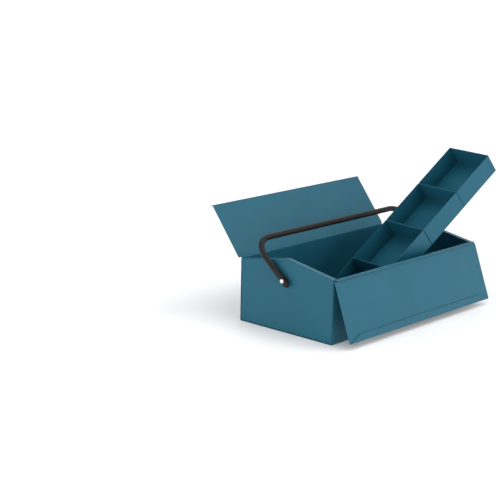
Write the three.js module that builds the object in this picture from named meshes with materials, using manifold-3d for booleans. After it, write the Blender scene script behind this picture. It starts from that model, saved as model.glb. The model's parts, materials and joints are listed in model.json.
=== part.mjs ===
// Gable-topped steel box for sewing things, with two lids, a bail handle and one lift-out tray.
// Millimetres, +Z up. The origin is at the middle of the floor's underside, +X runs along the
// box and -Y is the front. It stands open: the front lid hangs down, the back lid leans back,
// the handle lies back and the tray is part lifted out, low end on the floor.

import * as THREE from 'three';
import { mergeVertices } from 'three/addons/utils/BufferGeometryUtils.js';
import Module from 'manifold-3d';

const wasm = await Module();
wasm.setup();

// Case
const LENGTH = 400;
const WIDTH = 204;
const WALL_HEIGHT = 109.6;
const SHEET = 0.8;
const GAP = 0.3;
const FLANGE = 10;
const HALF_LENGTH = LENGTH / 2;
const HALF_WIDTH = WIDTH / 2;

// Lid hinges: rolled knuckles on the wall and the lid take turns along one pin
const HINGE_Y = 104.5;
const HINGE_Z = 109.4;
const KNUCKLES = 11;
const HINGE_RUN = 390;
const KNUCKLE_RADIUS = 2.2;
const KNUCKLE_BORE = 1.4;
const KNUCKLE_GAP = 0.8;
const WEB_TOP = 0.2;
const WEB_HEIGHT = 1.6;
const PIN_RADIUS = 1.05;
const PIN_LENGTH = 392;
const PIN_SIDES = 12;
const RING_SIDES = 16;

// Lids: a flat panel that starts clear of the knuckles and ends at the ridge
const LID_SLOPE = THREE.MathUtils.degToRad(10);
const RIDGE_GAP = 0.7;
const LID_LENGTH = (HINGE_Y - RIDGE_GAP) / Math.cos(LID_SLOPE);
const LID_START = 2.3;
const LID_LIFT = 0.9;
const LID_OVERHANG = 1;
const LID_HALF = HALF_LENGTH + LID_OVERHANG;
const FRONT_LID_LEAN = THREE.MathUtils.degToRad(20.3);
const BACK_LID_LEAN = THREE.MathUtils.degToRad(38.1);
const HEM_WIDTH = 12;
const HEM_INSET = 4;
const HEM_TAPER = 26;

// Padlock tab: an upstand along the back lid's ridge edge that rises to a holed peak
const TAB_Y = 0.3;
const TAB_END_RISE = 5.5;
const TAB_PEAK_RISE = 25;
const TAB_PEAK_HALF = 18;
const TAB_PEAK_ROUND = 1;
const PADLOCK_HOLE_RADIUS = 3.8;
const PADLOCK_HOLE_RISE = 12.5;
const CURVE_SEGMENTS = 10;

// End walls: their sloping flanges lie this far under the shut lids' inner faces
const END_WALL_DROP = 1.3;

// Handle: a round bar, bent to a U, flattened where it is riveted
const PIVOT_Z = 91;
const HANDLE_RADIUS = 5;
const HANDLE_ARM_X = 207;
const HANDLE_REACH = 89;
const HANDLE_TAIL = 14;
const HANDLE_BEND = 38;
const HANDLE_LEAN = THREE.MathUtils.degToRad(50);
const HANDLE_SIDES = 12;
const HANDLE_STEPS = 72;
const FLAT_REACH = 16;
const FLAT_INNER_X = 203.4;
const FLAT_OUTER_X = 210.4;

// Rivets, spacers and burrs at the two pivots
const RIVET_RADIUS = 2;
const RIVET_HOLE_RADIUS = 2.4;
const RIVET_HEAD_RADIUS = 3.9;
const RIVET_HEAD_RISE = 1.9;
const CLENCH_RADIUS = 3.3;
const CLENCH_RISE = 1.6;
const SPACER_RADIUS = 6;
const BURR_RADIUS = 6;
const BURR_THICK = 1;
const TURNED_SIDES = 20;

// Tray: four folded bins in a row
const BINS = 4;
const BIN_PITCH = 96.5;
const TRAY_WIDTH = 97.4;
const TRAY_HEIGHT = 37.3;
const TRAY_TILT = THREE.MathUtils.degToRad(37.93);
const TRAY_TURN = THREE.MathUtils.degToRad(-10.61);
const TRAY_CORNER = new THREE.Vector3(-61.5, -61.5, 1.3);

// Tray rests: an angle strip inside each end wall carries the tray when it is put away
const REST_Z = 66;
const REST_LEG = 14;
const REST_SHELF = 12;
const REST_HALF = 86;

// Colours
const BLUE = new THREE.MeshStandardMaterial({ color: 0x3f7588, roughness: 0.42, metalness: 0 });
const BLACK = new THREE.MeshStandardMaterial({ color: 0x26211f, roughness: 0.5, metalness: 0 });
const STEEL = new THREE.MeshStandardMaterial({ color: 0xc9cbcc, roughness: 0.3, metalness: 1 });
const NYLON = new THREE.MeshStandardMaterial({ color: 0x1d1d1e, roughness: 0.6, metalness: 0 });

// Solids

function toSolid(geometry) {
  const bare = geometry.clone();
  bare.deleteAttribute('normal');
  bare.deleteAttribute('uv');
  const merged = mergeVertices(bare, 1e-4);
  const vertProperties = new Float32Array(merged.attributes.position.array);
  const triVerts = new Uint32Array(merged.index.array);
  return new wasm.Manifold(new wasm.Mesh({ numProp: 3, vertProperties, triVerts }));
}

function toGeometry(solid) {
  const { vertProperties, triVerts } = solid.getMesh();
  const geometry = new THREE.BufferGeometry();
  geometry.setAttribute('position', new THREE.BufferAttribute(vertProperties, 3));
  geometry.setIndex(new THREE.BufferAttribute(triVerts, 1));
  geometry.computeVertexNormals();
  return geometry;
}

function outline(points) {
  return new THREE.Shape(points.map(([a, b]) => new THREE.Vector2(a, b)));
}

// An outline given as (y, z) points, extruded from x0 to x1
function alongX(points, x0, x1) {
  const geometry = new THREE.ExtrudeGeometry(outline(points), {
    depth: x1 - x0,
    bevelEnabled: false,
  });
  const turn = new THREE.Matrix4().set(0, 0, 1, x0, 1, 0, 0, 0, 0, 1, 0, 0, 0, 0, 0, 1);
  return toSolid(geometry.applyMatrix4(turn));
}

// An outline given as a Shape in (x, z), extruded from y0 to y1
function alongY(shape, y0, y1) {
  const geometry = new THREE.ExtrudeGeometry(shape, {
    depth: y1 - y0,
    bevelEnabled: false,
    curveSegments: CURVE_SEGMENTS,
  });
  const turn = new THREE.Matrix4().set(1, 0, 0, 0, 0, 0, -1, y1, 0, 1, 0, 0, 0, 0, 0, 1);
  return toSolid(geometry.applyMatrix4(turn));
}

function block(x0, x1, y0, y1, z0, z1) {
  const geometry = new THREE.BoxGeometry(x1 - x0, y1 - y0, z1 - z0);
  geometry.translate((x0 + x1) / 2, (y0 + y1) / 2, (z0 + z1) / 2);
  return toSolid(geometry);
}

// A cylinder along X
function rod(radius, x0, x1, y, z, sides = RING_SIDES) {
  const geometry = new THREE.CylinderGeometry(radius, radius, x1 - x0, sides);
  geometry.rotateZ(Math.PI / 2);
  geometry.translate((x0 + x1) / 2, y, z);
  return toSolid(geometry);
}

function named(name, solid, material) {
  const mesh = new THREE.Mesh(toGeometry(solid), material);
  mesh.name = name;
  return mesh;
}

// Knuckles: the case has the even ones, counted from the left end, and the lids the odd ones

function knuckleSpans(parity) {
  const pitch = HINGE_RUN / KNUCKLES;
  const spans = [];
  for (let i = parity; i < KNUCKLES; i += 2) {
    const start = -HINGE_RUN / 2 + i * pitch;
    spans.push([start + KNUCKLE_GAP / 2, start + pitch - KNUCKLE_GAP / 2]);
  }
  return spans;
}

// Case: floor, front and back walls are one folded sheet

function caseShell() {
  const inner = HALF_WIDTH - SHEET;
  let shell = alongX([
    [-HALF_WIDTH, WALL_HEIGHT],
    [-HALF_WIDTH, 0],
    [HALF_WIDTH, 0],
    [HALF_WIDTH, WALL_HEIGHT],
    [inner, WALL_HEIGHT],
    [inner, SHEET],
    [-inner, SHEET],
    [-inner, WALL_HEIGHT],
  ], -HALF_LENGTH, HALF_LENGTH);
  for (const side of [-1, 1]) {
    const axisY = side * HINGE_Y;
    const rootY = side * (HALF_WIDTH - SHEET / 2);
    const webY = side * (HINGE_Y - KNUCKLE_BORE);
    const webTop = HINGE_Z - WEB_TOP;
    for (const [x0, x1] of knuckleSpans(0)) {
      const web = block(x0, x1, Math.min(rootY, webY), Math.max(rootY, webY),
        webTop - WEB_HEIGHT, webTop);
      shell = shell.add(rod(KNUCKLE_RADIUS, x0, x1, axisY, HINGE_Z)).add(web);
    }
    shell = shell.subtract(rod(KNUCKLE_BORE, -HALF_LENGTH - 1, HALF_LENGTH + 1, axisY, HINGE_Z));
  }
  return shell;
}

// Height of a shut lid's inner face, at distance y from the middle
function lidUnderside(y) {
  const run = HINGE_Y - Math.abs(y);
  return HINGE_Z + run * Math.tan(LID_SLOPE) + LID_LIFT / Math.cos(LID_SLOPE);
}

function gable(inset) {
  const halfWidth = HALF_WIDTH - SHEET - GAP - inset;
  const drop = END_WALL_DROP + inset / Math.cos(LID_SLOPE);
  return [
    [-halfWidth, SHEET + GAP + inset],
    [halfWidth, SHEET + GAP + inset],
    [halfWidth, lidUnderside(halfWidth) - drop],
    [0, lidUnderside(0) - drop],
    [-halfWidth, lidUnderside(halfWidth) - drop],
  ];
}

// An end wall is a pan: a gable-shaped plate with a flange turned in all round
function endWall(side) {
  const faceX = HALF_LENGTH - SHEET;
  const span = (near, far) => (side < 0 ? [-far, -near] : [near, far]);
  const pan = alongX(gable(0), ...span(HALF_LENGTH - FLANGE, HALF_LENGTH));
  const hollow = alongX(gable(SHEET), ...span(HALF_LENGTH - FLANGE - 1, faceX));
  const hole = rod(RIVET_HOLE_RADIUS, ...span(faceX - 1, HALF_LENGTH + 1), 0, PIVOT_Z);
  return pan.subtract(hollow).subtract(hole);
}

// Lids, in their own frame: the hinge axis is X, the panel runs along +Y and +Z is outside

function lidPanel() {
  let panel = block(-LID_HALF, LID_HALF, LID_START, LID_LENGTH, LID_LIFT, LID_LIFT + SHEET);
  for (const [x0, x1] of knuckleSpans(1)) {
    const tongue = block(x0, x1, 0, LID_START + 1, LID_LIFT, LID_LIFT + SHEET);
    panel = panel.add(tongue).add(rod(KNUCKLE_RADIUS, x0, x1, 0, 0));
  }
  return panel.subtract(rod(KNUCKLE_BORE, -HALF_LENGTH, HALF_LENGTH, 0, 0));
}

// The front lid's ridge edge is folded back on its inner face, with tapered ends
function frontLid() {
  const end = LID_HALF - HEM_INSET;
  const hem = new THREE.Shape();
  hem.moveTo(-end, LID_LENGTH);
  hem.lineTo(-end + HEM_TAPER, LID_LENGTH - HEM_WIDTH);
  hem.lineTo(end - HEM_TAPER, LID_LENGTH - HEM_WIDTH);
  hem.lineTo(end, LID_LENGTH);
  const layer = new THREE.ExtrudeGeometry(hem, { depth: 2 * SHEET, bevelEnabled: false });
  layer.translate(0, 0, LID_LIFT - SHEET);
  return lidPanel().add(toSolid(layer));
}

function tabShape(baseZ, ridgeZ) {
  const shape = new THREE.Shape();
  shape.moveTo(-LID_HALF, baseZ);
  shape.lineTo(LID_HALF, baseZ);
  shape.lineTo(LID_HALF, ridgeZ + TAB_END_RISE);
  const shoulderZ = ridgeZ + TAB_PEAK_RISE - TAB_PEAK_ROUND;
  shape.lineTo(TAB_PEAK_HALF, shoulderZ);
  shape.quadraticCurveTo(0, shoulderZ + 2 * TAB_PEAK_ROUND, -TAB_PEAK_HALF, shoulderZ);
  shape.lineTo(-LID_HALF, ridgeZ + TAB_END_RISE);
  const hole = new THREE.Path();
  hole.absarc(0, ridgeZ + PADLOCK_HOLE_RISE, PADLOCK_HOLE_RADIUS, 0, 2 * Math.PI, true);
  shape.holes.push(hole);
  return shape;
}

// The tab stands upright when the lid is shut, so it is drawn there and turned to the lid's frame
function backLid() {
  const ridgeZ = lidUnderside(0) + SHEET;
  const tab = alongY(tabShape(lidUnderside(0), ridgeZ), TAB_Y, TAB_Y + SHEET);
  const shut = new THREE.Matrix4().makeTranslation(0, HINGE_Y, HINGE_Z)
    .multiply(new THREE.Matrix4().makeRotationX(-LID_SLOPE))
    .multiply(new THREE.Matrix4().makeRotationZ(Math.PI));
  const toLid = shut.invert();
  return lidPanel().add(tab.transform(Array.from(toLid.elements)));
}

function lidMeshes() {
  const front = named('lid_front', frontLid(), BLUE);
  front.position.set(0, -HINGE_Y, HINGE_Z);
  front.rotation.x = 1.5 * Math.PI - FRONT_LID_LEAN;
  const back = named('lid_back', backLid(), BLUE);
  const hang = new THREE.Group();
  hang.position.set(0, HINGE_Y, HINGE_Z);
  hang.rotation.x = -Math.PI / 2 - BACK_LID_LEAN;
  back.rotation.z = Math.PI;
  hang.add(back);
  return [front, hang];
}

function hingePin(side) {
  return rod(PIN_RADIUS, -PIN_LENGTH / 2, PIN_LENGTH / 2, side * HINGE_Y, HINGE_Z, PIN_SIDES);
}

// Handle, in its own frame: the pivot axis is X and the bar stands up along +Z

class Bend extends THREE.Curve {
  constructor(centreX, centreZ, startAngle) {
    super();
    Object.assign(this, { centreX, centreZ, startAngle });
  }

  getPoint(t, target = new THREE.Vector3()) {
    const angle = this.startAngle - (t * Math.PI) / 2;
    const x = this.centreX + HANDLE_BEND * Math.cos(angle);
    return target.set(x, 0, this.centreZ + HANDLE_BEND * Math.sin(angle));
  }
}

function handlePath() {
  const bendX = HANDLE_ARM_X - HANDLE_BEND;
  const bendZ = HANDLE_REACH - HANDLE_BEND;
  const at = (x, z) => new THREE.Vector3(x, 0, z);
  const path = new THREE.CurvePath();
  path.add(new THREE.LineCurve3(at(-HANDLE_ARM_X, -HANDLE_TAIL), at(-HANDLE_ARM_X, bendZ)));
  path.add(new Bend(-bendX, bendZ, Math.PI));
  path.add(new THREE.LineCurve3(at(-bendX, HANDLE_REACH), at(bendX, HANDLE_REACH)));
  path.add(new Bend(bendX, bendZ, Math.PI / 2));
  path.add(new THREE.LineCurve3(at(HANDLE_ARM_X, bendZ), at(HANDLE_ARM_X, -HANDLE_TAIL)));
  return path;
}

function handleBail() {
  const section = new THREE.Shape();
  for (let i = 0; i < HANDLE_SIDES; i += 1) {
    const angle = (2 * Math.PI * i) / HANDLE_SIDES;
    const point = [HANDLE_RADIUS * Math.cos(angle), HANDLE_RADIUS * Math.sin(angle)];
    if (i === 0) section.moveTo(...point);
    else section.lineTo(...point);
  }
  let bail = toSolid(new THREE.ExtrudeGeometry(section, {
    steps: HANDLE_STEPS,
    extrudePath: handlePath(),
    bevelEnabled: false,
  }));
  const outside = HANDLE_ARM_X + 2 * HANDLE_RADIUS;
  const inside = HANDLE_ARM_X - 2 * HANDLE_RADIUS;
  for (const side of [-1, 1]) {
    for (const [near, far] of [[inside, FLAT_INNER_X], [FLAT_OUTER_X, outside]]) {
      const [x0, x1] = side < 0 ? [-far, -near] : [near, far];
      bail = bail.subtract(block(x0, x1, -HANDLE_BEND, HANDLE_BEND, -HANDLE_BEND, FLAT_REACH));
    }
  }
  return bail.subtract(rod(RIVET_HOLE_RADIUS, -outside, outside, 0, 0));
}

// Turned pieces on the right-hand pivot, as (radius, x) outlines; side -1 puts them on the left

function turned(points, side) {
  const profile = points.map(([radius, x]) => new THREE.Vector2(radius, x));
  const geometry = new THREE.LatheGeometry(profile, TURNED_SIDES);
  geometry.rotateZ(side > 0 ? -Math.PI / 2 : Math.PI / 2);
  geometry.translate(0, 0, PIVOT_Z);
  return toSolid(geometry);
}

function ring(inner, outer, x0, x1, side) {
  return turned([[inner, x0], [outer, x0], [outer, x1], [inner, x1], [inner, x0]], side);
}

const INNER_FACE_X = HALF_LENGTH - SHEET;
const BURR_OUTER_X = INNER_FACE_X - GAP;
const BURR_INNER_X = BURR_OUTER_X - BURR_THICK;

// A dome's profile from its rim to its top, as shares of its radius and its rise
const DOME = [[1, 0], [1, 0.3], [0.75, 0.78], [0.4, 0.96], [0, 1]];

// A domed head outside the arm, a shank through arm, spacer and wall, and a clenched end inside
function rivet(side) {
  const headX = FLAT_OUTER_X + GAP;
  const clenchX = BURR_INNER_X - GAP;
  const clench = DOME.map(([r, rise]) => [r * CLENCH_RADIUS, clenchX - rise * CLENCH_RISE]);
  const head = DOME.map(([r, rise]) => [r * RIVET_HEAD_RADIUS, headX + rise * RIVET_HEAD_RISE]);
  const shank = [[RIVET_RADIUS, clenchX], [RIVET_RADIUS, headX]];
  return turned([...clench.reverse(), ...shank, ...head], side);
}

function spacer(side) {
  return ring(RIVET_HOLE_RADIUS, SPACER_RADIUS, HALF_LENGTH + GAP, FLAT_INNER_X - GAP, side);
}

function burr(side) {
  return ring(RIVET_HOLE_RADIUS, BURR_RADIUS, BURR_INNER_X, BURR_OUTER_X, side);
}

// Tray, in its own frame: the bins run along +X from the low end

function trayBin(index) {
  const x0 = index * BIN_PITCH;
  const x1 = x0 + BIN_PITCH - GAP;
  const outer = block(x0, x1, 0, TRAY_WIDTH, 0, TRAY_HEIGHT);
  const hollow = block(x0 + SHEET, x1 - SHEET, SHEET, TRAY_WIDTH - SHEET, SHEET, TRAY_HEIGHT + 1);
  return outer.subtract(hollow);
}

function trayRest(side) {
  const wallX = INNER_FACE_X - GAP;
  const section = new THREE.Shape();
  section.moveTo(side * wallX, REST_Z - REST_LEG);
  section.lineTo(side * wallX, REST_Z);
  section.lineTo(side * (wallX - REST_SHELF), REST_Z);
  section.lineTo(side * (wallX - REST_SHELF), REST_Z - SHEET);
  section.lineTo(side * (wallX - SHEET), REST_Z - SHEET);
  section.lineTo(side * (wallX - SHEET), REST_Z - REST_LEG);
  return alongY(section, -REST_HALF, REST_HALF);
}

// Assembly

const sewingBox = new THREE.Group();
sewingBox.add(named('case_shell', caseShell(), BLUE));
for (const [end, side] of [['left', -1], ['right', 1]]) {
  sewingBox.add(named(`end_wall_${end}`, endWall(side), BLUE));
  sewingBox.add(named(`tray_rest_${end}`, trayRest(side), BLUE));
  sewingBox.add(named(`handle_rivet_${end}`, rivet(side), STEEL));
  sewingBox.add(named(`handle_spacer_${end}`, spacer(side), NYLON));
  sewingBox.add(named(`handle_burr_${end}`, burr(side), STEEL));
}
sewingBox.add(named('hinge_pin_front', hingePin(-1), STEEL));
sewingBox.add(named('hinge_pin_back', hingePin(1), STEEL));
sewingBox.add(...lidMeshes());

const handle = named('handle_bail', handleBail(), BLACK);
handle.position.z = PIVOT_Z;
handle.rotation.x = -HANDLE_LEAN;
sewingBox.add(handle);

const tray = new THREE.Group();
tray.position.copy(TRAY_CORNER);
tray.rotation.set(0, -TRAY_TILT, TRAY_TURN, 'ZYX');
for (let i = 0; i < BINS; i += 1) {
  tray.add(named(`tray_bin_${i + 1}`, trayBin(i), BLUE));
}
sewingBox.add(tray);

export default sewingBox;
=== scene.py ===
"""Looks of the gable-topped sewing box: enamelled sheet steel, a black bail handle and a lift-out tray.

Lengths are in millimetres until a piece is finished, which scales it to metres. +X runs along the
box, -Y is its front and +Z is up, as in the CAD model.
"""

import json
import math

import bmesh
import bpy
from mathutils import Matrix, Vector

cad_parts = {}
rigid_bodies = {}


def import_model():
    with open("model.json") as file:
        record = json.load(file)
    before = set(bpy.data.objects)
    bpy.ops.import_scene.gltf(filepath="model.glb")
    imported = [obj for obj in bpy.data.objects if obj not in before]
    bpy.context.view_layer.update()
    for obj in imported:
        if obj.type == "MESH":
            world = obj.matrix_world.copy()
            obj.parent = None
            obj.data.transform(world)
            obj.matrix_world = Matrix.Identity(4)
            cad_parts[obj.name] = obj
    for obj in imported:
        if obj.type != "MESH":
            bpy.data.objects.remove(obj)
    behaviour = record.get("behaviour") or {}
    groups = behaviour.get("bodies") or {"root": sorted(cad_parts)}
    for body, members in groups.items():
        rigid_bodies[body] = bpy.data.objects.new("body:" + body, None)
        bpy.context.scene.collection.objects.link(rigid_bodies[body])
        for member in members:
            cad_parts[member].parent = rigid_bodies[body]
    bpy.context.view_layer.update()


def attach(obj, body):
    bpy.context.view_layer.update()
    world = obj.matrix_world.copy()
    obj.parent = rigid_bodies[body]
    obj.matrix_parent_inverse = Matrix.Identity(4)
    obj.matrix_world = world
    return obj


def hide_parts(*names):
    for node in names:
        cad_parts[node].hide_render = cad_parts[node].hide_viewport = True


MM = 0.001

# Case, as in the CAD model
HALF_LENGTH = 200
HALF_WIDTH = 102
WALL_HEIGHT = 109.6
SHEET = 0.8
GAP = 0.3
FLANGE = 10
FOLD = 2.0  # outside radius of a fold in the sheet
FOLD_STEPS = 6
END_CORNER = 1.2  # rounding where two flanges of an end wall meet
CORNER_STEPS = 3

# Finish of every piece
EDGE = 0.18  # rounding of cut sheet edges
EDGE_ANGLE = 50  # corners sharper than this are rounded
EDGE_SEGMENTS = 2
SMOOTH_ANGLE = 32
SAME_PLACE = 1e-3  # points closer than this are welded

# Hinges
HINGE_Y = 104.5
HINGE_Z = 109.4
HINGE_RUN = 390
KNUCKLES = 11
KNUCKLE_RADIUS = 2.2
KNUCKLE_GAP = 0.3
CURL_START = 62  # degrees round the pin, 0 on the side that the sheet comes from
CASE_CURL_END = 405
LID_CURL_END = 380
CURL_STEPS = 24
CASE_LEAD = ((6, 3.15), (3.4, 3.15), (2.2, 2.85))  # below the pin, inwards from it
LID_LEAD = (1.7, 1.95)  # along the panel, outwards from the pin
PIN_RADIUS = 1.05
PIN_HALF = 196
PIN_DOME = (0, 22.5, 45, 67.5)  # degrees, from the rim of the pin's domed end

# Lids
LID_SLOPE = math.radians(10)
FRONT_LID_STOP = 0.7  # the shut front lid ends this far from the middle
LID_LENGTH = (HINGE_Y - FRONT_LID_STOP) / math.cos(LID_SLOPE)
LID_START = 2.3  # from the hinge axis to the panel
LID_LIFT = 0.9  # from the hinge axis to the panel's inner face
LID_LEAD_STEP = 0.1  # straight stretch before a knuckle
# Height of the shut back lid's outer face at the middle
RIDGE = HINGE_Z + HINGE_Y * math.tan(LID_SLOPE) + LID_LIFT / math.cos(LID_SLOPE) + SHEET
LID_HALF = 201
FRONT_LID_LEAN = math.radians(20.3)
BACK_LID_LEAN = math.radians(38.1)
HEM_WIDTH = 12
HEM_INSET = 4
HEM_TAPER = 26
HEM_TIP = 2  # width of the hem where its taper starts
HEM_TIP_STEP = 0.02  # length over which the tip starts
HEM_GAP = 0.8  # between the hem's cut edge and the panel
HEM_CLOSED = 0.4  # share of the hem that lies on the panel
HEM_ROUND_STEPS = 8
TAB_Y = 0.3
TAB_END_RISE = 5.5
TAB_PEAK_RISE = 25
TAB_PEAK_HALF = 18
TAB_PEAK_ROUND = 1
TAB_PEAK_STEPS = 8
TAB_FOOT_HALF = 3 * TAB_PEAK_HALF
PADLOCK_HOLE_RADIUS = 3.8
PADLOCK_HOLE_RISE = 12.5
DRILL_HALF = 4
END_WALL_DROP = 1.3

# Handle
PIVOT_Z = 91
BAR_RADIUS = 5
ARM_X = 207
REACH = 89
TAIL = 14
BEND = 38
HANDLE_LEAN = math.radians(50)
FLAT_REACH = 13
FLAT_BLEND = 15
FLAT_HALF = 3.3
FLAT_SPREAD = 0.35
FLAT_POWER = 0.5  # 1 gives a round section and less a flatter one
END_ROUND = 1.2  # length of the rounded end, in bar radii
END_TIP = 0.02  # square of the share of the width that is left at the tip
END_THIN = 0.35  # share of the thickness that is kept where the width runs out
BAR_SIDES = 32
ARM_STEPS = 26
BEND_STEPS = 18

# Pivots
RIVET_RADIUS = 2
RIVET_HOLE_RADIUS = 2.4
RIVET_HEAD_RADIUS = 3.9
RIVET_HEAD_RISE = 1.88
HEAD_LAND = 0.28  # share of a head's rise that is straight
HEAD_STEPS = 9
CLENCH_RADIUS = 3.3
CLENCH_RISE = 1.6
ARM_INNER_X = 203.4
ARM_OUTER_X = 210.4
WASHER_RADIUS = 6
BURR_THICK = 1
CHAMFER = 0.35
TURNED_SIDES = 64

# Tray
BINS = 4
BIN_PITCH = 96.5
TRAY_WIDTH = 97.4
TRAY_HEIGHT = 37.3
TRAY_TILT = math.radians(37.93)
TRAY_TURN = math.radians(-10.61)
TRAY_CORNER = (-61.5, -61.5, 1.3)
BIN_FOLD = 1.4
BIN_CORNER = 1.4
BIN_INSET = 0.1
REST_Z = 66
REST_LEG = 14
REST_SHELF = 12
REST_HALF = 86

# Camera, in metres: a perspective fit to the case's corners
CAMERA_AT = (-1.9355, -1.4938, 0.6976)
CAMERA_YAW = math.radians(47.758)
CAMERA_DOWN = math.radians(13.656)
CAMERA_ROLL = math.radians(1.052)
CAMERA_LENS = 102.59
CAMERA_SENSOR = 36
CAMERA_RANGE = (0.05, 100)

# Colours, linear
BLUE = (0.0135, 0.119, 0.180)
BLACK = (0.015, 0.0135, 0.0135)
ZINC = (0.80, 0.81, 0.82)
WIRE = (0.48, 0.49, 0.50)
NYLON = (0.014, 0.014, 0.015)
FLOOR = (0.9, 0.9, 0.905)
WHITE = (1, 1, 1, 1)

# Surfaces: noise scales are per metre and bump depths in metres
NOISE_RANGE = (0.3, 0.7)
ENAMEL_MOTTLE = 9
ENAMEL_TINT = 0.05
ENAMEL_CLOUD = 55
ENAMEL_ROUGH_SPREAD = 0.05
SHEET_WAVE = 14
SHEET_WAVE_DEPTH = 0.0006
PEEL = 620
METAL_CLOUD = 300
METAL_DULL = 0.88
METAL_HAZE = 900
METAL_HAZE_SPREAD = (-0.06, 0.08)
METAL_MARKS = 1500
METAL_MARKS_DEPTH = 0.00002
PLASTIC_CLOUD = 200
PLASTIC_TINTS = (0.85, 1.2)
PLASTIC_HAZE = 700
PLASTIC_ROUGH = (0.5, 0.66)
PLASTIC_GRAIN = 2400
PLASTIC_GRAIN_DEPTH = 0.00003

# Studio
FLOOR_HALF = 30  # metres
FLOOR_ROUGH = 0.7
FLOOR_GLOW = 0.18  # the table is lit from below as well
WALL_TOP = math.radians(8)
CEILING = math.radians(18)
CEILING_LIGHT = 0.18

# Distant soft lights: azimuth, elevation and spread in degrees, then strength. Azimuth 0 is in front
# of the box and 90 on its right.
LIGHTS = {
    "panel_back_left": (-135, 12, 40, 0.48),
    "panel_left": (-90, 12, 40, 0.52),
    "panel_back_right": (135, 20, 60, 0.70),
    "panel_front": (0, 12, 40, 0.66),
    "panel_front_right": (45, 12, 40, 0.25),
    "key": (45, 45, 40, 0.80),
    "top": (0, 88, 60, 1.42),
}


# Outlines in a plane


def arc(centre, radius, start, end, steps):
    """Points of an arc, its angles in degrees."""
    points = []
    for i in range(steps + 1):
        angle = math.radians(start + (end - start) * i / steps)
        points.append(Vector((centre[0] + radius * math.cos(angle), centre[1] + radius * math.sin(angle))))
    return points


def round_corner(before, corner, after, radius, steps):
    """Points that round one corner of an outline."""
    back = (before - corner).normalized()
    ahead = (after - corner).normalized()
    half = back.angle(ahead) / 2
    centre = corner + (back + ahead).normalized() * (radius / math.sin(half))
    start = corner + back * (radius / math.tan(half)) - centre
    end = corner + ahead * (radius / math.tan(half)) - centre
    sweep = math.atan2(start.x * end.y - start.y * end.x, start.dot(end))
    first = math.atan2(start.y, start.x)
    angles = [first + sweep * i / steps for i in range(steps + 1)]
    return [centre + Vector((math.cos(a), math.sin(a))) * radius for a in angles]


def rounded(corners, radius):
    """A closed outline with each corner rounded."""
    corners = [Vector(c) for c in corners]
    points = []
    for i, corner in enumerate(corners):
        after = corners[(i + 1) % len(corners)]
        points += round_corner(corners[i - 1], corner, after, radius, CORNER_STEPS)
    return points


def folded(path, radius):
    """An open path with its inner corners rounded."""
    path = [Vector(p) for p in path]
    points = [path[0]]
    for before, corner, after in zip(path, path[1:], path[2:]):
        points += round_corner(before, corner, after, radius, FOLD_STEPS)
    return points + [path[-1]]


def inset(corners, amount):
    """A convex outline, counter-clockwise, with each side moved inwards."""
    corners = [Vector(c) for c in corners]
    moved = []
    for i, corner in enumerate(corners):
        into = (corner - corners[i - 1]).normalized()
        out = (corners[(i + 1) % len(corners)] - corner).normalized()
        first = Vector((-into.y, into.x))
        second = Vector((-out.y, out.x))
        moved.append(corner + (first + second) * (amount / (1 + first.dot(second))))
    return moved


def beside(path, distance):
    """An open path moved to its left by a distance."""
    moved = []
    for i, point in enumerate(path):
        into = (point - path[max(i - 1, 0)]).normalized()
        out = (path[min(i + 1, len(path) - 1)] - point).normalized()
        into, out = into if i else out, out if i < len(path) - 1 else into
        first = Vector((-into.y, into.x))
        second = Vector((-out.y, out.x))
        moved.append(point + (first + second) * (distance / (1 + first.dot(second))))
    return moved


# Closed bodies


def walls_between(bm, loops):
    """Faces between each loop of vertices and the next."""
    count = len(loops[0])
    for low, high in zip(loops, loops[1:]):
        for i in range(count):
            j = (i + 1) % count
            bm.faces.new((low[i], low[j], high[j], high[i]))


def loft(bm, rings, strip=False):
    """A body through rings of points. A strip's ends are capped across from one long side to the other."""
    loops = [[bm.verts.new(p) for p in ring] for ring in rings]
    count = len(rings[0])
    walls_between(bm, loops)
    for loop in (loops[0], loops[-1]):
        if strip:
            for i in range(count // 2 - 1):
                bm.faces.new((loop[i], loop[i + 1], loop[count - 2 - i], loop[count - 1 - i]))
        else:
            bm.faces.new(loop)


def along_x(a, b, x):
    return Vector((x, a, b))


def ribbon(bm, path, thickness, start, end, place=along_x):
    """Sheet that follows a path in a plane, from start to end across it."""
    outline = list(path) + list(reversed(beside(path, thickness)))
    loft(bm, [[place(p.x, p.y, at) for p in outline] for at in (start, end)], strip=True)


def turned(bm, profile, place):
    """A body turned about an axis from (radius, height) points.

    The profile starts and ends on the axis, or else it closes on itself.
    """
    angles = [math.tau * i / TURNED_SIDES for i in range(TURNED_SIDES)]
    rings = []
    for radius, height in profile:
        if radius == 0:
            rings.append([bm.verts.new(place(0, 0, height))])
            continue
        points = [place(radius * math.cos(a), radius * math.sin(a), height) for a in angles]
        rings.append([bm.verts.new(p) for p in points])
    pairs = list(zip(rings, rings[1:]))
    if profile[0][0] != 0:
        pairs.append((rings[-1], rings[0]))
    for low, high in pairs:
        for i in range(TURNED_SIDES):
            j = (i + 1) % TURNED_SIDES
            corners = [low[i % len(low)], low[j % len(low)], high[j % len(high)], high[i % len(high)]]
            bm.faces.new(list(dict.fromkeys(corners)))


def fill(bm, loop, hole=None):
    """A flat face inside a loop of vertices, with the inside of a second loop left out."""
    if hole is None:
        bm.faces.new(loop)
        return
    edges = []
    for ring in (loop, hole):
        for i, vert in enumerate(ring):
            pair = (vert, ring[(i + 1) % len(ring)])
            edges.append(bm.edges.get(pair) or bm.edges.new(pair))
    bmesh.ops.triangle_fill(bm, use_beauty=True, use_dissolve=False, edges=edges)


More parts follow.
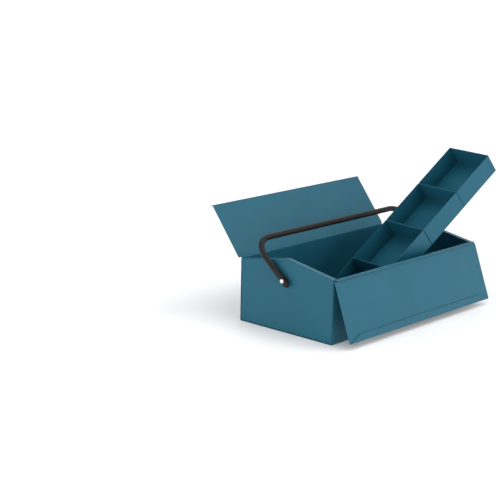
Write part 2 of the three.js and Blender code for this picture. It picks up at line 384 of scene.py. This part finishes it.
def flange_rims(bm, outer, inner, rims, closed):
    """Carries a fold's outer and inner ends up to the flanges' rims, or caps them at a slit."""
    count = len(outer)
    for i in range(count):
        j = (i + 1) % count
        if not closed and i % (CORNER_STEPS + 1) != CORNER_STEPS:
            bm.faces.new((outer[i], outer[j], inner[j], inner[i]))
            continue
        rim_out_i, rim_out_j, rim_in_i, rim_in_j = rims[0][i], rims[0][j], rims[1][i], rims[1][j]
        bm.faces.new((outer[i], outer[j], rim_out_j, rim_out_i))
        bm.faces.new((inner[i], inner[j], rim_in_j, rim_in_i))
        bm.faces.new((rim_out_i, rim_out_j, rim_in_j, rim_in_i))
        if not closed:
            bm.faces.new((outer[i], rim_out_i, rim_in_i, inner[i]))
            bm.faces.new((outer[j], rim_out_j, rim_in_j, inner[j]))


def pan(bm, corners, depth, fold, round_off, place, closed=False, hole=None):
    """A plate with a flange folded up along each side.

    Where two flanges meet there is a slit, or a rounded corner if it is closed. hole is the centre and
    radius of a round hole in the plate.
    """

    def level(amount, height):
        """A loop of vertices along the outline, moved in by an amount and up to a height."""
        points = rounded(inset(corners, amount), max(round_off - amount, round_off / 3))
        return [bm.verts.new(place(p.x, p.y, height)) for p in points]

    def side(offset):
        """The loops of one face of the fold, from the plate's edge up to the flanges."""
        radius = fold - offset
        loops = []
        for i in range(FOLD_STEPS + 1):
            turn = math.pi / 2 * i / FOLD_STEPS
            amount = offset + radius * (1 - math.sin(turn))
            height = offset + radius * (1 - math.cos(turn))
            loops.append(level(amount, height))
        return loops

    outer, inner = side(0), side(SHEET)
    for loops in (outer, inner):
        walls_between(bm, loops)
    rims = [level(0, depth), level(SHEET, depth)]
    flange_rims(bm, outer[-1], inner[-1], rims, closed)
    for vert in [v for rim in rims for v in rim if not v.link_faces]:
        bm.verts.remove(vert)
    rings = [None, None]
    if hole:
        centre, radius = hole
        circle = arc(centre, radius, 0, 360, TURNED_SIDES)[:-1]
        rings = [[bm.verts.new(place(p.x, p.y, height)) for p in circle] for height in (0, SHEET)]
        walls_between(bm, rings)
    fill(bm, outer[0], rings[0])
    fill(bm, inner[0], rings[1])


def weld(bm):
    """Joins bodies that meet face to face into one."""
    bmesh.ops.remove_doubles(bm, verts=bm.verts, dist=SAME_PLACE)
    within = [f for f in bm.faces if all(len(e.link_faces) > 2 for e in f.edges)]
    bmesh.ops.delete(bm, geom=within, context="FACES_ONLY")


# Finishing


def apply_modifiers(obj):
    """Keeps what the modifiers make as the object's own mesh."""
    graph = bpy.context.evaluated_depsgraph_get()
    mesh = bpy.data.meshes.new_from_object(obj.evaluated_get(graph))
    obj.modifiers.clear()
    obj.data = mesh


def piece(name, bm, material, body, nodes, edge=EDGE, place=None, cutter=None):
    """Makes a piece from a bmesh in millimetres.

    It is turned to its place, its edges are rounded, the cutter is taken away from it and used up, and
    it is shaded and tied to the frame.
    """
    bmesh.ops.recalc_face_normals(bm, faces=bm.faces)
    bm.transform(Matrix.Scale(MM, 4) @ (place or Matrix.Identity(4)))
    mesh = bpy.data.meshes.new(name)
    bm.to_mesh(mesh)
    bm.free()
    obj = bpy.data.objects.new(name, mesh)
    bpy.context.scene.collection.objects.link(obj)
    if edge:
        bevel = obj.modifiers.new("edge", "BEVEL")
        bevel.width = edge * MM
        bevel.segments = EDGE_SEGMENTS
        bevel.limit_method = "ANGLE"
        bevel.angle_limit = math.radians(EDGE_ANGLE)
    if cutter:
        cut = obj.modifiers.new("cut", "BOOLEAN")
        cut.operation = "DIFFERENCE"
        cut.solver = "EXACT"
        cut.object = cutter
    apply_modifiers(obj)
    if cutter:
        bpy.data.objects.remove(cutter)
    obj.data.materials.clear()
    obj.data.materials.append(material)
    obj.data.shade_smooth()
    obj.data.set_sharp_from_angle(angle=math.radians(SMOOTH_ANGLE))
    obj.modifiers.new("flat_faces", "WEIGHTED_NORMAL").keep_sharp = True
    apply_modifiers(obj)
    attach(obj, body)
    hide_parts(*nodes)


# Case


def knuckle_spans(parity):
    """Where the knuckles lie along X. The case has the even ones and the lids the odd ones."""
    pitch = HINGE_RUN / KNUCKLES
    starts = [-HINGE_RUN / 2 + i * pitch for i in range(parity, KNUCKLES, 2)]
    return [(s + KNUCKLE_GAP / 2, s + pitch - KNUCKLE_GAP / 2) for s in starts]


def curl(bm, lead, end, span, place):
    """Sheet that comes in along the lead points and is rolled round the hinge pin, up to an end angle."""
    path = [Vector(p) for p in lead] + arc((0, 0), KNUCKLE_RADIUS, CURL_START, end, CURL_STEPS)
    ribbon(bm, path, SHEET, *span, place)


def case_sheet(blue):
    """Floor, front and back walls, folded from one sheet, with knuckles rolled along both tops."""
    bm = bmesh.new()
    walls = [(-HALF_WIDTH, WALL_HEIGHT), (-HALF_WIDTH, 0), (HALF_WIDTH, 0), (HALF_WIDTH, WALL_HEIGHT)]
    ribbon(bm, folded(walls, FOLD), SHEET, -HALF_LENGTH, HALF_LENGTH)
    for side in (-1, 1):
        for span in knuckle_spans(0):
            curl(bm, CASE_LEAD, CASE_CURL_END, span,
                 lambda a, b, x, s=side: Vector((x, s * (HINGE_Y - b), HINGE_Z - a)))
    piece("case_sheet", bm, blue, "case", ["case_shell"])


def lid_underside(y):
    """Height of a shut lid's inner face at a distance from the middle."""
    return HINGE_Z + (HINGE_Y - abs(y)) * math.tan(LID_SLOPE) + LID_LIFT / math.cos(LID_SLOPE)


def end_pan(name, side, blue):
    """An end wall: a gable-shaped plate with a flange turned in along each edge."""
    half = HALF_WIDTH - SHEET - GAP
    eaves = lid_underside(half) - END_WALL_DROP
    ridge = lid_underside(0) - END_WALL_DROP
    corners = [(-half, SHEET + GAP), (half, SHEET + GAP), (half, eaves), (0, ridge), (-half, eaves)]
    bm = bmesh.new()
    pan(bm, corners, FLANGE, FOLD, END_CORNER, lambda a, b, h: Vector((side * (HALF_LENGTH - h), a, b)),
        hole=((0, PIVOT_Z), RIVET_HOLE_RADIUS))
    piece(f"{name}_pan", bm, blue, "case", [name])


def tray_rest(name, side, blue):
    """An angle strip that the tray stands on when it is put away."""
    wall = HALF_LENGTH - SHEET - GAP
    path = folded([(wall, REST_Z - REST_LEG), (wall, REST_Z), (wall - REST_SHELF, REST_Z)], FOLD)
    bm = bmesh.new()
    ribbon(bm, path, SHEET, -REST_HALF, REST_HALF, lambda a, b, y: Vector((side * a, y, b)))
    piece(f"{name}_angle", bm, blue, "case", [name])


def hinge_pin(name, side, wire):
    """A wire with domed ends."""
    angles = [math.radians(a) for a in PIN_DOME]
    tip = [(PIN_RADIUS * math.cos(a), PIN_HALF - PIN_RADIUS * (1 - math.sin(a))) for a in angles]
    profile = [(0, -PIN_HALF)] + [(r, -h) for r, h in reversed(tip)] + tip + [(0, PIN_HALF)]
    bm = bmesh.new()
    turned(bm, profile, lambda a, b, h: Vector((h, side * HINGE_Y + a, HINGE_Z + b)))
    piece(f"{name}_wire", bm, wire, "case", [name], edge=0)


# Lids, in their own frame: the hinge axis is X, the panel runs along +Y and +Z is outside


def lid_knuckles(bm):
    """Rolls knuckles that meet the panel's end along the hinge."""
    top = LID_LIFT + SHEET
    lead = [(LID_START, top), (LID_START - LID_LEAD_STEP, top), LID_LEAD]
    for span in knuckle_spans(1):
        curl(bm, lead, LID_CURL_END, span, along_x)


def knuckle_ends():
    """Where the lids' knuckles begin and end along X."""
    return [x for span in knuckle_spans(1) for x in span]


def front_lid(blue):
    """A panel whose free edge is folded back on its inner face, the fold's ends tapered."""
    top = LID_LIFT + SHEET
    end = LID_HALF - HEM_INSET

    def section(hem):
        """One section, its free edge rounded. With no hem its points fall together under the panel."""
        thick = 2 * SHEET if hem else SHEET
        radius = thick / 2
        edge = arc((LID_LENGTH - radius, top - radius), radius, 90, -90, HEM_ROUND_STEPS)
        back = LID_LENGTH - max(hem, radius)
        gap = HEM_GAP * hem / HEM_WIDTH
        return [Vector((LID_START, top))] + edge + [
            Vector((back, top - thick - gap)),
            Vector((back, LID_LIFT - gap)),
            Vector((LID_LENGTH - max(HEM_CLOSED * hem, radius), LID_LIFT)),
            Vector((LID_START, LID_LIFT)),
        ]

    left = [(-LID_HALF, 0), (-end - HEM_TIP_STEP, 0), (-end, HEM_TIP), (-end + HEM_TAPER, HEM_WIDTH)]
    right = [(-x, hem) for x, hem in reversed(left)]
    stations = left + [(x, HEM_WIDTH) for x in knuckle_ends()] + right
    rings = [[along_x(p.x, p.y, x) for p in section(hem)] for x, hem in stations]
    bm = bmesh.new()
    loft(bm, rings)
    bmesh.ops.remove_doubles(bm, verts=bm.verts, dist=SAME_PLACE / 10)
    bmesh.ops.dissolve_degenerate(bm, edges=bm.edges, dist=SAME_PLACE / 10)
    lid_knuckles(bm)
    weld(bm)
    lean = Matrix.Rotation(1.5 * math.pi - FRONT_LID_LEAN, 4, "X")
    place = Matrix.Translation((0, -HINGE_Y, HINGE_Z)) @ lean
    piece("lid_front_panel", bm, blue, "lid_front", ["lid_front"], place=place)


def tab_rise(x):
    """Height of the padlock tab above the ridge at a distance from the middle."""
    shoulder = TAB_PEAK_RISE - TAB_PEAK_ROUND
    if abs(x) < TAB_PEAK_HALF:
        return shoulder + TAB_PEAK_ROUND * (1 - (x / TAB_PEAK_HALF) ** 2)
    share = (abs(x) - TAB_PEAK_HALF) / (LID_HALF - TAB_PEAK_HALF)
    return shoulder + (TAB_END_RISE - shoulder) * share


def back_lid_section(x):
    """The shut back lid's outline at a place along X: the panel and the strip folded up from it."""
    slope = Vector((-math.cos(LID_SLOPE), math.sin(LID_SLOPE)))
    across = Vector((math.sin(LID_SLOPE), math.cos(LID_SLOPE)))
    low = Vector((HINGE_Y, HINGE_Z)) + slope * LID_START + across * LID_LIFT
    corner = Vector((TAB_Y, low.y + (low.x - TAB_Y) * math.tan(LID_SLOPE)))
    path = folded([low, corner, (TAB_Y, RIDGE + tab_rise(x))], FOLD)
    return path + list(reversed(beside(path, -SHEET)))


def padlock_drill(place):
    """A cutter for the tab's hole."""
    bm = bmesh.new()
    turned(bm, [(0, -DRILL_HALF), (PADLOCK_HOLE_RADIUS, -DRILL_HALF), (PADLOCK_HOLE_RADIUS, DRILL_HALF),
                (0, DRILL_HALF)],
           lambda a, b, h: Vector((a, h, RIDGE + PADLOCK_HOLE_RISE + b)))
    bmesh.ops.recalc_face_normals(bm, faces=bm.faces)
    bm.transform(Matrix.Scale(MM, 4) @ place)
    mesh = bpy.data.meshes.new("drill")
    bm.to_mesh(mesh)
    bm.free()
    drill = bpy.data.objects.new("drill", mesh)
    bpy.context.scene.collection.objects.link(drill)
    drill.hide_render = True
    return drill


def back_lid(blue):
    """A panel folded up along its free edge to a strip that rises to a holed tab.

    It is shaped as it lies when shut, then opened about its hinge.
    """
    xs = [-LID_HALF, -TAB_FOOT_HALF]
    xs += [TAB_PEAK_HALF * i / TAB_PEAK_STEPS for i in range(-TAB_PEAK_STEPS, TAB_PEAK_STEPS + 1)]
    xs += [TAB_FOOT_HALF, LID_HALF] + knuckle_ends()
    rings = [[along_x(p.x, p.y, x) for p in back_lid_section(x)] for x in sorted(xs)]
    shut = Matrix.Translation((0, HINGE_Y, HINGE_Z)) @ Matrix.Rotation(-LID_SLOPE, 4, "X")
    shut = shut @ Matrix.Rotation(math.pi, 4, "Z")
    bm = bmesh.new()
    lid_knuckles(bm)
    bm.transform(shut)
    loft(bm, rings, strip=True)
    weld(bm)
    lean = Matrix.Rotation(-math.pi / 2 - BACK_LID_LEAN, 4, "X")
    opened = Matrix.Translation((0, HINGE_Y, HINGE_Z)) @ lean
    place = opened @ Matrix.Rotation(math.pi, 4, "Z") @ shut.inverted()
    piece("lid_back_panel", bm, blue, "lid_back", ["lid_back"], place=place,
          cutter=padlock_drill(place))


# Handle and pivots


def bar_path():
    """Centre line of the bail as (x, z, heading in degrees) stations, from the left foot to the right."""
    bend_x, bend_z = ARM_X - BEND, REACH - BEND
    half = [(-ARM_X, -TAIL + (bend_z + TAIL) * i / ARM_STEPS, 90) for i in range(ARM_STEPS)]
    for i, p in enumerate(arc((-bend_x, bend_z), BEND, 180, 90, BEND_STEPS)):
        half.append((p.x, p.y, 90 - 90 * i / BEND_STEPS))
    return half + [(-x, z, -heading) for x, z, heading in reversed(half)]


def section_at(z):
    """Half thickness and half width of the bar's section at a height above the pivot."""
    share = min(max((z - FLAT_REACH) / FLAT_BLEND, 0), 1)
    share = share * share * (3 - 2 * share)
    return FLAT_HALF + (BAR_RADIUS - FLAT_HALF) * share, BAR_RADIUS + FLAT_SPREAD * (1 - share)


def bail(black):
    """One round bar bent to a U, its ends pressed flat and rounded off. The rivets' holes aren't cut."""
    rings = []
    for x, z, heading in bar_path():
        thick, wide = section_at(z)
        end = min(max((z + TAIL) / (BAR_RADIUS * END_ROUND), 0), 1)
        taper = math.sqrt(max(1 - (1 - end) ** 2, END_TIP))
        power = FLAT_POWER + (1 - FLAT_POWER) * (thick - FLAT_HALF) / (BAR_RADIUS - FLAT_HALF)
        turn = math.radians(heading)
        across = Vector((math.sin(turn), 0, -math.cos(turn)))
        ring = []
        for i in range(BAR_SIDES):
            angle = math.tau * i / BAR_SIDES
            c, s = math.cos(angle), math.sin(angle)
            flat = math.copysign(abs(c) ** power, c)
            out = across * (thick * flat * (END_THIN + (1 - END_THIN) * taper))
            ring.append(Vector((x, 0, z)) + out + Vector((0, wide * taper * s, 0)))
        rings.append(ring)
    bm = bmesh.new()
    loft(bm, rings)
    place = Matrix.Translation((0, 0, PIVOT_Z)) @ Matrix.Rotation(-HANDLE_LEAN, 4, "X")
    piece("handle_bar", bm, black, "handle", ["handle_bail"], edge=0, place=place)


def on_pivot(side):
    """Puts a turned part on the rivet's axis, its height measured outwards from the box's middle."""
    return lambda a, b, h: Vector((side * h, a, PIVOT_Z + b))


def dome(radius, rise, base):
    """Profile of a rivet head from its rim to its top: a short straight land, then a rounded crown."""
    points = [(radius, base)]
    for i in range(HEAD_STEPS):
        angle = math.radians(90 * i / HEAD_STEPS)
        share = HEAD_LAND + (1 - HEAD_LAND) * math.sin(angle)
        points.append((radius * math.cos(angle), base + rise * share))
    return points + [(0, base + rise)]


def rivet(name, side, zinc):
    """A shank through the end wall and the handle, domed outside and clenched inside."""
    head = ARM_OUTER_X + GAP
    clench = HALF_LENGTH - SHEET - 2 * GAP - BURR_THICK
    inside = [(r, 2 * clench - h) for r, h in dome(CLENCH_RADIUS, CLENCH_RISE, clench)]
    shank = [(RIVET_RADIUS, clench), (RIVET_RADIUS, head)]
    profile = inside[::-1] + shank + dome(RIVET_HEAD_RADIUS, RIVET_HEAD_RISE, head)
    bm = bmesh.new()
    turned(bm, profile, on_pivot(side))
    piece(f"{name}_turned", bm, zinc, "case", [name], edge=0)


def washer(name, side, low, high, material):
    """A ring with chamfered rims."""
    cut = CHAMFER
    profile = [(RIVET_HOLE_RADIUS, low), (WASHER_RADIUS - cut, low), (WASHER_RADIUS, low + cut),
               (WASHER_RADIUS, high - cut), (WASHER_RADIUS - cut, high), (RIVET_HOLE_RADIUS, high)]
    bm = bmesh.new()
    turned(bm, profile, on_pivot(side))
    piece(f"{name}_ring", bm, material, "case", [name], edge=0)


# Tray


def tray_bins(blue):
    """Four folded bins in a row, the first at the low end."""
    place = Matrix.Translation(TRAY_CORNER) @ Matrix.Rotation(TRAY_TURN, 4, "Z")
    place = place @ Matrix.Rotation(-TRAY_TILT, 4, "Y")
    for i in range(BINS):
        x0, x1 = i * BIN_PITCH + BIN_INSET, (i + 1) * BIN_PITCH - GAP - BIN_INSET
        corners = [(x0, 0), (x1, 0), (x1, TRAY_WIDTH), (x0, TRAY_WIDTH)]
        bm = bmesh.new()
        pan(bm, corners, TRAY_HEIGHT, BIN_FOLD, BIN_CORNER, lambda a, b, h: Vector((a, b, h)), closed=True)
        piece(f"tray_bin_{i + 1}_pan", bm, blue, "tray", [f"tray_bin_{i + 1}"], place=place)


# Materials


class Nodes:
    """A material's node tree, with short ways to add and join nodes."""

    def __init__(self, name):
        self.material = bpy.data.materials.new(name)
        self.material.use_nodes = True
        self.tree = self.material.node_tree
        self.shader = self.tree.nodes["Principled BSDF"]
        self.coords = self.add("ShaderNodeTexCoord").outputs["Object"]

    def add(self, kind, **settings):
        node = self.tree.nodes.new(kind)
        for key, value in settings.items():
            setattr(node, key, value)
        return node

    def join(self, source, target):
        self.tree.links.new(source, target)

    def noise(self, scale, detail, stretch=(1, 1, 1)):
        """Noise that lies mostly within NOISE_RANGE."""
        mapping = self.add("ShaderNodeMapping")
        mapping.inputs["Scale"].default_value = stretch
        self.join(self.coords, mapping.inputs["Vector"])
        node = self.add("ShaderNodeTexNoise")
        node.inputs["Scale"].default_value = scale
        node.inputs["Detail"].default_value = detail
        self.join(mapping.outputs["Vector"], node.inputs["Vector"])
        return node.outputs["Fac"]

    def spread(self, value, low, high):
        """Noise brought to between low and high."""
        node = self.add("ShaderNodeMapRange")
        node.inputs["From Min"].default_value, node.inputs["From Max"].default_value = NOISE_RANGE
        node.inputs["To Min"].default_value, node.inputs["To Max"].default_value = low, high
        self.join(value, node.inputs["Value"])
        return node.outputs["Result"]

    def mix(self, factor, first, second):
        """A colour between two colours."""
        node = self.add("ShaderNodeMix", data_type="RGBA")
        node.inputs["A"].default_value = (*first, 1)
        node.inputs["B"].default_value = (*second, 1)
        self.join(factor, node.inputs["Factor"])
        return node.outputs["Result"]

    def bump(self, height, depth, strength, under=None):
        """A bump, over another one if there is one under it."""
        node = self.add("ShaderNodeBump")
        node.inputs["Distance"].default_value = depth
        node.inputs["Strength"].default_value = strength
        self.join(height, node.inputs["Height"])
        if under is not None:
            self.join(under, node.inputs["Normal"])
        return node.outputs["Normal"]


def scaled(colour, factor):
    return tuple(c * factor for c in colour)


def enamel(name, colour, rough, peel, gloss):
    """Stoved enamel: faint mottling of colour and gloss, orange peel, and a slight wave of the sheet."""
    nodes = Nodes(name)
    shader = nodes.shader
    mottle = nodes.spread(nodes.noise(ENAMEL_MOTTLE, detail=3), 0, 1)
    tint = nodes.mix(mottle, scaled(colour, 1 - ENAMEL_TINT), scaled(colour, 1 + ENAMEL_TINT))
    nodes.join(tint, shader.inputs["Base Color"])
    cloud = nodes.noise(ENAMEL_CLOUD, detail=4)
    haze = nodes.spread(cloud, rough - ENAMEL_ROUGH_SPREAD, rough + ENAMEL_ROUGH_SPREAD)
    nodes.join(haze, shader.inputs["Roughness"])
    waves = nodes.bump(nodes.noise(SHEET_WAVE, detail=1), SHEET_WAVE_DEPTH, strength=0.35)
    grain = nodes.bump(nodes.noise(PEEL, detail=2), peel, strength=0.5, under=waves)
    nodes.join(grain, shader.inputs["Normal"])
    shader.inputs["Specular IOR Level"].default_value = gloss
    return nodes.material


def bright_metal(name, colour, rough, stretch):
    """Plated steel with fine drawn or turned marks."""
    nodes = Nodes(name)
    shader = nodes.shader
    shader.inputs["Metallic"].default_value = 1
    cloud = nodes.spread(nodes.noise(METAL_CLOUD, detail=3), 0, 1)
    nodes.join(nodes.mix(cloud, scaled(colour, METAL_DULL), colour), shader.inputs["Base Color"])
    low, high = METAL_HAZE_SPREAD
    haze = nodes.spread(nodes.noise(METAL_HAZE, detail=3), rough + low, rough + high)
    nodes.join(haze, shader.inputs["Roughness"])
    marks = nodes.noise(METAL_MARKS, detail=2, stretch=stretch)
    nodes.join(nodes.bump(marks, METAL_MARKS_DEPTH, strength=0.4), shader.inputs["Normal"])
    return nodes.material


def moulded(name, colour):
    """Matt moulded plastic."""
    nodes = Nodes(name)
    shader = nodes.shader
    dark, light = (scaled(colour, tint) for tint in PLASTIC_TINTS)
    cloud = nodes.spread(nodes.noise(PLASTIC_CLOUD, detail=3), 0, 1)
    nodes.join(nodes.mix(cloud, dark, light), shader.inputs["Base Color"])
    haze = nodes.spread(nodes.noise(PLASTIC_HAZE, detail=2), *PLASTIC_ROUGH)
    nodes.join(haze, shader.inputs["Roughness"])
    grain = nodes.bump(nodes.noise(PLASTIC_GRAIN, detail=2), PLASTIC_GRAIN_DEPTH, strength=0.5)
    nodes.join(grain, shader.inputs["Normal"])
    return nodes.material


# Stage


def floor():
    """A wide pale floor."""
    bm = bmesh.new()
    bmesh.ops.create_grid(bm, x_segments=1, y_segments=1, size=FLOOR_HALF)
    mesh = bpy.data.meshes.new("floor")
    bm.to_mesh(mesh)
    bm.free()
    obj = bpy.data.objects.new("floor", mesh)
    bpy.context.scene.collection.objects.link(obj)
    nodes = Nodes("floor")
    nodes.shader.inputs["Base Color"].default_value = (*FLOOR, 1)
    nodes.shader.inputs["Roughness"].default_value = FLOOR_ROUGH
    nodes.shader.inputs["Emission Color"].default_value = WHITE
    nodes.shader.inputs["Emission Strength"].default_value = FLOOR_GLOW
    mesh.materials.append(nodes.material)


def soft_light(name, azimuth, elevation, spread, strength):
    """A distant soft light."""
    light = bpy.data.lights.new(name, "SUN")
    light.angle = math.radians(spread)
    light.energy = strength
    a, e = math.radians(azimuth), math.radians(elevation)
    away = Vector((math.sin(a) * math.cos(e), -math.cos(a) * math.cos(e), math.sin(e)))
    obj = bpy.data.objects.new(name, light)
    obj.rotation_euler = away.to_track_quat("Z", "Y").to_euler()
    bpy.context.scene.collection.objects.link(obj)


def surroundings():
    """White walls all round the studio that fade to a dim ceiling."""
    world = bpy.data.worlds.new("studio")
    world.use_nodes = True
    tree = world.node_tree
    height = tree.nodes.new("ShaderNodeSeparateXYZ")
    fade = tree.nodes.new("ShaderNodeMapRange")
    fade.inputs["From Min"].default_value = math.sin(WALL_TOP)
    fade.inputs["From Max"].default_value = math.sin(CEILING)
    fade.inputs["To Min"].default_value = 1
    fade.inputs["To Max"].default_value = CEILING_LIGHT
    tree.links.new(tree.nodes.new("ShaderNodeTexCoord").outputs["Generated"], height.inputs["Vector"])
    tree.links.new(height.outputs["Z"], fade.inputs["Value"])
    tree.links.new(fade.outputs["Result"], tree.nodes["Background"].inputs["Strength"])
    tree.nodes["Background"].inputs["Color"].default_value = WHITE
    bpy.context.scene.world = world


def lights():
    """Large low panels round the box, one light above it and a key at the front right."""
    for name, settings in LIGHTS.items():
        soft_light(name, *settings)


def camera():
    """A long lens that looks down on the box's front left corner."""
    data = bpy.data.cameras.new("camera")
    data.sensor_width = CAMERA_SENSOR
    data.lens = CAMERA_LENS
    data.clip_start, data.clip_end = CAMERA_RANGE
    sin, cos = math.sin, math.cos
    ahead = cos(CAMERA_DOWN)
    forward = Vector((sin(CAMERA_YAW) * ahead, cos(CAMERA_YAW) * ahead, -sin(CAMERA_DOWN)))
    level = Vector((cos(CAMERA_YAW), -sin(CAMERA_YAW), 0))
    upright = level.cross(forward)
    right = level * cos(CAMERA_ROLL) + upright * sin(CAMERA_ROLL)
    up = upright * cos(CAMERA_ROLL) - level * sin(CAMERA_ROLL)
    obj = bpy.data.objects.new("camera", data)
    turn = Matrix((right, up, -forward)).transposed().to_4x4()
    obj.matrix_world = Matrix.Translation(CAMERA_AT) @ turn
    bpy.context.scene.collection.objects.link(obj)
    bpy.context.scene.camera = obj


def main():
    """Builds the stage and every piece."""
    for obj in list(bpy.data.objects):
        bpy.data.objects.remove(obj)
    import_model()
    bpy.context.scene.view_settings.view_transform = "Standard"
    camera()
    floor()
    surroundings()
    lights()
    blue = enamel("blue_enamel", BLUE, rough=0.40, peel=0.00003, gloss=0.22)
    black = enamel("black_enamel", BLACK, rough=0.48, peel=0.00005, gloss=0.2)
    zinc = bright_metal("zinc_plate", ZINC, rough=0.26, stretch=(1, 1, 1))
    wire = bright_metal("drawn_wire", WIRE, rough=0.4, stretch=(0.05, 1, 1))
    nylon = moulded("black_nylon", NYLON)
    case_sheet(blue)
    inner_x = HALF_LENGTH - SHEET
    for end, side in (("left", -1), ("right", 1)):
        end_pan(f"end_wall_{end}", side, blue)
        tray_rest(f"tray_rest_{end}", side, blue)
        rivet(f"handle_rivet_{end}", side, zinc)
        washer(f"handle_spacer_{end}", side, HALF_LENGTH + GAP, ARM_INNER_X - GAP, nylon)
        washer(f"handle_burr_{end}", side, inner_x - GAP - BURR_THICK, inner_x - GAP, zinc)
    hinge_pin("hinge_pin_front", -1, wire)
    hinge_pin("hinge_pin_back", 1, wire)
    front_lid(blue)
    back_lid(blue)
    bail(black)
    tray_bins(blue)


main()
